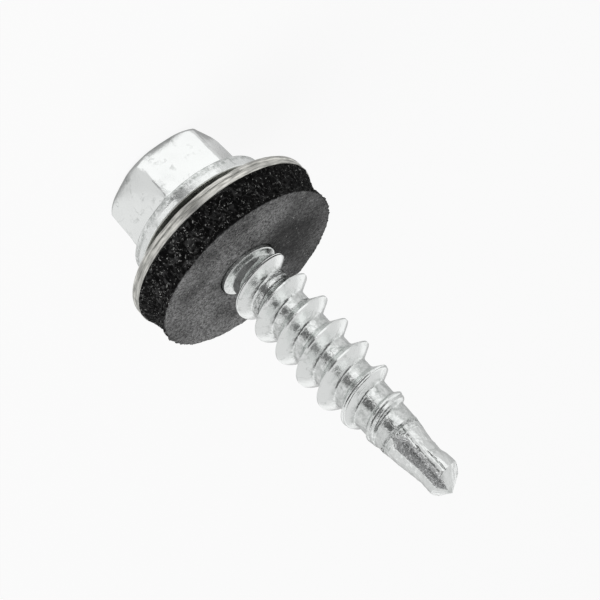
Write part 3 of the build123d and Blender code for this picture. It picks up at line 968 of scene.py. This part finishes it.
def vulcanised_rubber(finishes):
    """Black synthetic rubber: a torn, granular black edge, and a moulded face greyed by talc and a
    painted sheen, with a painted shadow beside the shank.
    """
    material, tree, place, found = new_finish("black_vulcanised_rubber", RUBBER_PATTERNS)
    torn = add(tree, "ShaderNodeAttribute", attribute_name="flute_shade_and_tear").outputs["Fac"]

    # Talc on the moulded face, in clouds, with a pale patch and a painted sheen beside the shank, and a
    # painted shadow of the shank on its other side.
    talc_and_painted_light = add(
        tree,
        RANGE,
        {"Value": found["grains"], "From Min": 0.32, "From Max": 0.68, "To Min": 0.2, "To Max": 1.7},
    )
    shade = add(
        tree,
        RANGE,
        {"Value": found["clouds"], "From Min": 0.35, "From Max": 0.62, "To Min": 0.6, "To Max": 1.3},
    )
    talc_and_painted_light = add(tree, MATHS, {0: talc_and_painted_light, 1: shade}, operation="MULTIPLY")
    # Painted sheen: a pale patch of talc and sheen beside the shank.
    aside = add(tree, VECTOR_MATHS, {0: place, 1: SHEEN_PLACE}, operation="DISTANCE")
    sheen_patch = add(
        tree,
        RANGE,
        {"Value": aside.outputs["Value"], "From Max": 1.1, "To Min": 1.6, "To Max": 0.0},
        interpolation_type="SMOOTHSTEP",
    )
    sheen_patch = add(tree, MATHS, {0: sheen_patch, 1: found["grains"]}, operation="MULTIPLY")
    talc_and_painted_light = add(tree, MATHS, {0: talc_and_painted_light, 1: sheen_patch}, operation="ADD")
    # Painted shadow: the shank's shadow, darkening the face on its other side.
    away = add(tree, VECTOR_MATHS, {0: place, 1: SHADOW_PLACE}, operation="DISTANCE")
    shank_shadow = add(
        tree,
        RANGE,
        {"Value": away.outputs["Value"], "From Min": 1.0, "From Max": 4.0, "To Min": 0.5},
        interpolation_type="SMOOTHSTEP",
    )
    talc_and_painted_light = add(tree, MATHS, {0: talc_and_painted_light, 1: shank_shadow}, operation="MULTIPLY")
    # The face's grey: talc with a painted sheen.
    rubber, talc_and_sheen = (*finishes.rubber, 1), (*finishes.face_talc_and_sheen, 1)
    face = add(tree, MIX, {0: talc_and_painted_light, 6: rubber, 7: talc_and_sheen}, data_type="RGBA", clamp_factor=False)

    # The torn edge: black, with greyer clumps and pale crumbs of filler.
    clump = add(
        tree, RANGE, {"Value": found["clumps"], "From Min": 0.5, "From Max": 0.75, "To Max": 0.35}
    )
    edge = add(tree, MIX, {0: clump, 6: rubber, 7: talc_and_sheen}, data_type="RGBA")
    tone = add(tree, MIX, {0: torn, 6: face.outputs[2], 7: edge.outputs[2]}, data_type="RGBA")
    scarce = add(tree, RANGE, {"Value": torn, "To Min": 0.63, "To Max": 0.62})
    pale = add(tree, MATHS, {0: found["crumbs"], 1: scarce}, operation="SUBTRACT")
    pale = add(tree, MATHS, {0: pale, 1: 9.0}, operation="MULTIPLY", use_clamp=True)
    tone = add(tree, MIX, {0: pale, 6: tone.outputs[2], 7: (*finishes.crumbs, 1)}, data_type="RGBA")
    rough = add(
        tree,
        RANGE,
        {"Value": found["grains"], "From Min": 0.3, "From Max": 0.7, "To Min": 0.6, "To Max": 0.85},
    )
    deep = add(tree, MATHS, {0: torn, 1: 0.6, 2: 0.4}, operation="MULTIPLY_ADD")
    bump = add(
        tree, "ShaderNodeBump", {"Height": found["grains"], "Strength": deep, "Distance": 0.12 * MM}
    )
    shader = add(
        tree,
        "ShaderNodeBsdfPrincipled",
        {
            "Base Color": tone.outputs[2],
            "Roughness": rough,
            "IOR": 1.52,
            "Specular IOR Level": 0.1,
            "Normal": bump,
        },
    )
    add(tree, "ShaderNodeOutputMaterial", {"Surface": shader})
    return material


# Studio.

CAMERA_PLACE = Vector((-0.093336, 0.256847, 0.127161))
CAMERA_RIGHT = Vector((0.78194, 0.01061, 0.62326))
CAMERA_UP = Vector((0.5357, 0.49981, -0.6806))
CAMERA_BACK = Vector((-0.31873, 0.86607, 0.38514))
LENS = 280.45  # millimetres, on Blender's 36 mm sensor
AMBIENT_LEVEL = 0.3  # what the room gives to matt surfaces, beside the lamp
ROOM_LEVEL = 0.76  # how bright the metal sees the room and the paper
CAMERA_SIDE = (-0.345, 0.939, 0)  # level direction in which the camera stands


def add_camera():
    """A long lens over the drill point, rolled so that the head is at the upper left."""
    data = bpy.data.cameras.new("studio_camera")
    data.lens = LENS
    data.sensor_width = 36.0
    data.clip_start = 0.01
    data.clip_end = 20.0
    camera = bpy.data.objects.new("studio_camera", data)
    turn = Matrix((CAMERA_RIGHT, CAMERA_UP, CAMERA_BACK)).transposed()
    camera.matrix_world = Matrix.Translation(CAMERA_PLACE) @ turn.to_4x4()
    bpy.context.scene.collection.objects.link(camera)
    bpy.context.scene.camera = camera


def add_lamp(name, direction, distance, side, power):
    """A square soft lamp that looks at the middle of the screw, which the metal does not mirror."""
    data = bpy.data.lights.new(name, "AREA")
    data.shape = "SQUARE"
    data.size = side
    data.energy = power
    lamp = bpy.data.objects.new(name, data)
    centre = (screw_low + screw_high) / 2
    toward = Vector(direction).normalized()
    lamp.location = centre + toward * distance
    lamp.rotation_euler = toward.to_track_quat("Z", "Y").to_euler()
    lamp.visible_glossy = False
    bpy.context.scene.collection.objects.link(lamp)


# Pale and dark cards on the paper round the screw, as the metal sees them. A card has a direction in
# degrees, the cosines between which it fades in, what it adds to the room's level, and how far out
# it begins and ends. The hexagon shows the paper from 4 to 14 mm out, the flange from 5 to 15 mm,
# the washer's edge from 19 mm, the neck from 21 to 27 mm and the core and thread from 36 mm.
CARDS = (
    (92, 0.81, 0.88, 0.41, 4.6 * MM, 6 * MM),
    (78, 0.86, 0.93, 0.41, 6 * MM, 14 * MM),
    (73, 0.88, 0.96, 0.40, 14 * MM, 1500 * MM),
    (190, 0.85, 0.93, 0.12, 4.6 * MM, 14 * MM),
    (134, 0.93, 0.98, 0.50, 13 * MM, 17.5 * MM),
    (105, 0.965, 0.988, -0.55, 8.5 * MM, 13 * MM),
    (100, 0.94, 0.975, -0.50, 13 * MM, 17.5 * MM),
    (116, 0.93, 0.97, -0.65, 22 * MM, 1500 * MM),
    (168, 0.96, 0.985, 0.40, 21 * MM, 26.5 * MM),
    (222, 0.75, 0.86, -0.55, 21 * MM, 26.5 * MM),
    (-60, 0.30, 0.85, -0.22, 0, 1500 * MM),
)


def reflected_paper(tree, place):
    """How bright the metal sees the paper at a place: white, with the cards laid round the screw."""
    flat = add(tree, VECTOR_MATHS, {0: place, 1: (1, 1, 0)}, operation="MULTIPLY")
    reach = add(tree, VECTOR_MATHS, {0: flat}, operation="LENGTH").outputs["Value"]
    way = add(tree, VECTOR_MATHS, {0: flat}, operation="NORMALIZE")
    level = ROOM_LEVEL
    for degrees, edge, inside, amount, begins, ends in CARDS:
        facing = (math.cos(math.radians(degrees)), math.sin(math.radians(degrees)), 0)
        near = add(tree, VECTOR_MATHS, {0: way, 1: facing}, operation="DOT_PRODUCT")
        card = add(
            tree,
            RANGE,
            {"Value": near.outputs["Value"], "From Min": edge, "From Max": inside, "To Max": amount},
            interpolation_type="SMOOTHSTEP",
        )
        middle, half = (begins + ends) / 2, (ends - begins) / 2
        within = add(tree, MATHS, {0: reach, 1: middle, 2: half}, operation="COMPARE")
        level = add(tree, MATHS, {0: card, 1: within, 2: level}, operation="MULTIPLY_ADD")
    # Close round the head, the paper lies in its shadow.
    under = add(
        tree, RANGE, {"Value": reach, "From Min": 4.3 * MM, "From Max": 4.9 * MM, "To Min": 0.5}
    )
    return add(tree, MATHS, {0: level, 1: under}, operation="MULTIPLY")


def reflected_room(tree, way):
    """How bright the metal sees the room along a way: white, with the dark camera on its own side."""
    height = add(tree, "ShaderNodeSeparateXYZ", {0: way}).outputs["Z"]
    level = add(tree, VECTOR_MATHS, {0: way, 1: (1, 1, 0)}, operation="MULTIPLY")
    level = add(tree, VECTOR_MATHS, {0: level}, operation="NORMALIZE")
    toward = add(tree, VECTOR_MATHS, {0: level, 1: CAMERA_SIDE}, operation="DOT_PRODUCT")
    dark = add(
        tree,
        RANGE,
        {"Value": toward.outputs["Value"], "From Min": 0.1, "From Max": 0.6, "To Max": 0.85},
        interpolation_type="SMOOTHSTEP",
    )
    for clear, full in ((0.18, 0.34), (0.88, 0.70)):  # below the camera and above it, as heights
        share = add(
            tree,
            RANGE,
            {"Value": height, "From Min": clear, "From Max": full},
            interpolation_type="SMOOTHSTEP",
        )
        dark = add(tree, MATHS, {0: dark, 1: share}, operation="MULTIPLY")
    light = add(
        tree,
        RANGE,
        {"Value": height, "From Min": 0.3, "From Max": 0.5, "To Min": 1.0, "To Max": ROOM_LEVEL},
        interpolation_type="SMOOTHSTEP",
    )
    dark = add(tree, MATHS, {0: 1.0, 1: dark}, operation="SUBTRACT")
    return add(tree, MATHS, {0: light, 1: dark}, operation="MULTIPLY")


PAPER_REACH = 1.5  # metres from the screw to the paper's edges
PAPER_DROP = 0.02 * MM  # so that the paper and the head's top are not in one plane
PAPER_SHOWN = 0.9  # the rest of what is seen is the paper's own tone, which keeps the shadow


def add_floor(finishes):
    """White paper that the screw stands on, which shows white and keeps a faint shadow."""
    mesh = bpy.data.meshes.new("paper_floor")
    corners = [(x * PAPER_REACH, y * PAPER_REACH) for x, y in ((-1, -1), (1, -1), (1, 1), (-1, 1))]
    mesh.from_pydata([(x, y, -PAPER_DROP) for x, y in corners], [], [(0, 1, 2, 3)])
    floor = bpy.data.objects.new("paper_floor", mesh)
    bpy.context.scene.collection.objects.link(floor)
    material = bpy.data.materials.new("white_paper")
    material.use_nodes = True
    tree = material.node_tree
    tree.nodes.clear()
    place = add(tree, "ShaderNodeTexCoord").outputs["Object"]
    paper = add(tree, "ShaderNodeBsdfDiffuse", {"Color": (*finishes.floor, 1)})
    path = add(tree, "ShaderNodeLightPath").outputs
    level = add(tree, MIX, {0: path["Is Glossy Ray"], 2: 1.0, 3: reflected_paper(tree, place)})
    shown = add(tree, "ShaderNodeEmission", {"Color": (1, 1, 1, 1), "Strength": level})
    seen = path["Is Camera Ray"]
    for kind in ("Is Glossy Ray", "Is Transmission Ray"):
        seen = add(tree, MATHS, {0: seen, 1: path[kind]}, operation="MAXIMUM")
    share = add(tree, MATHS, {0: seen, 1: PAPER_SHOWN}, operation="MULTIPLY")
    mix = add(tree, "ShaderNodeMixShader", {0: share, 1: paper, 2: shown})
    add(tree, "ShaderNodeOutputMaterial", {"Surface": mix})
    mesh.materials.append(material)


def add_surroundings():
    """A white room: plain white to the camera, a little less to the metal, dimmer to matt things."""
    world = bpy.data.worlds.new("white_room")
    world.use_nodes = True
    tree = world.node_tree
    tree.nodes.clear()
    path = add(tree, "ShaderNodeLightPath").outputs
    way = add(tree, "ShaderNodeTexCoord").outputs["Generated"]
    room = reflected_room(tree, way)
    level = add(tree, MIX, {0: path["Is Glossy Ray"], 2: AMBIENT_LEVEL, 3: room})
    room = add(tree, "ShaderNodeBackground", {"Color": (1, 1, 1, 1), "Strength": level})
    white = add(tree, "ShaderNodeBackground", {"Color": (1, 1, 1, 1), "Strength": 1.0})
    mix = add(tree, "ShaderNodeMixShader", {0: path["Is Camera Ray"], 1: room, 2: white})
    add(tree, "ShaderNodeOutputWorld", {"Surface": mix})
    bpy.context.scene.world = world


def set_view():
    """Colours come out as they are written."""
    bpy.context.scene.view_settings.view_transform = "Standard"


# Add-on.


class SCREW_OT_screw(Operator):
    """Make the forged screw: hexagon, flange, rolled thread and drill point"""

    bl_idname = "screw.make_screw"
    bl_label = "Forged screw"

    def execute(self, context):
        scene = context.scene
        make_screw(scene.screw_head, scene.screw_thread, scene.screw_point, scene.screw_finishes)
        return {"FINISHED"}


class SCREW_OT_washer(Operator):
    """Make the dished steel washer"""

    bl_idname = "screw.make_washer"
    bl_label = "Dished washer"

    def execute(self, context):
        make_washer(context.scene.screw_washer, context.scene.screw_finishes)
        return {"FINISHED"}


class SCREW_OT_seal(Operator):
    """Make the rubber ring that is bonded to the washer"""

    bl_idname = "screw.make_seal"
    bl_label = "Rubber seal"

    def execute(self, context):
        make_seal(context.scene.screw_washer, context.scene.screw_finishes)
        return {"FINISHED"}


class SCREW_OT_stage(Operator):
    """Set up the floor, the lamp, the surroundings and the camera"""

    bl_idname = "screw.make_stage"
    bl_label = "Studio"

    def execute(self, context):
        add_camera()
        add_floor(context.scene.screw_finishes)
        add_lamp("key_lamp", direction=(-0.75, 0.13, 0.64), distance=0.5, side=0.6, power=2.0)
        add_surroundings()
        set_view()
        return {"FINISHED"}


class SCREW_PT_sidebar(Panel):
    """Lists the sizes and the pieces of the screw."""

    bl_label = "Self drilling screw"
    bl_idname = "SCREW_PT_sidebar"
    bl_space_type = "VIEW_3D"
    bl_region_type = "UI"
    bl_category = "Screw"

    def draw(self, context):
        for operator in OPERATORS:
            self.layout.operator(operator.bl_idname)
        for name in SETTINGS:
            box = self.layout.box()
            group = getattr(context.scene, name)
            for key in group.__annotations__:
                box.prop(group, key)


OPERATORS = (SCREW_OT_screw, SCREW_OT_washer, SCREW_OT_seal, SCREW_OT_stage)
SETTINGS = {
    "screw_head": HeadSizes,
    "screw_thread": ThreadSizes,
    "screw_point": PointSizes,
    "screw_washer": WasherSizes,
    "screw_finishes": Finishes,
}


def register():
    for kind in (*SETTINGS.values(), *OPERATORS, SCREW_PT_sidebar):
        bpy.utils.register_class(kind)
    for name, kind in SETTINGS.items():
        setattr(bpy.types.Scene, name, PointerProperty(type=kind))


def unregister():
    for name in SETTINGS:
        delattr(bpy.types.Scene, name)
    for kind in (SCREW_PT_sidebar, *reversed(OPERATORS), *reversed(SETTINGS.values())):
        bpy.utils.unregister_class(kind)


def main():
    register()
    bpy.ops.screw.make_screw()
    bpy.ops.screw.make_washer()
    bpy.ops.screw.make_seal()
    bpy.ops.screw.make_stage()


if __name__ == "__main__":
    main()
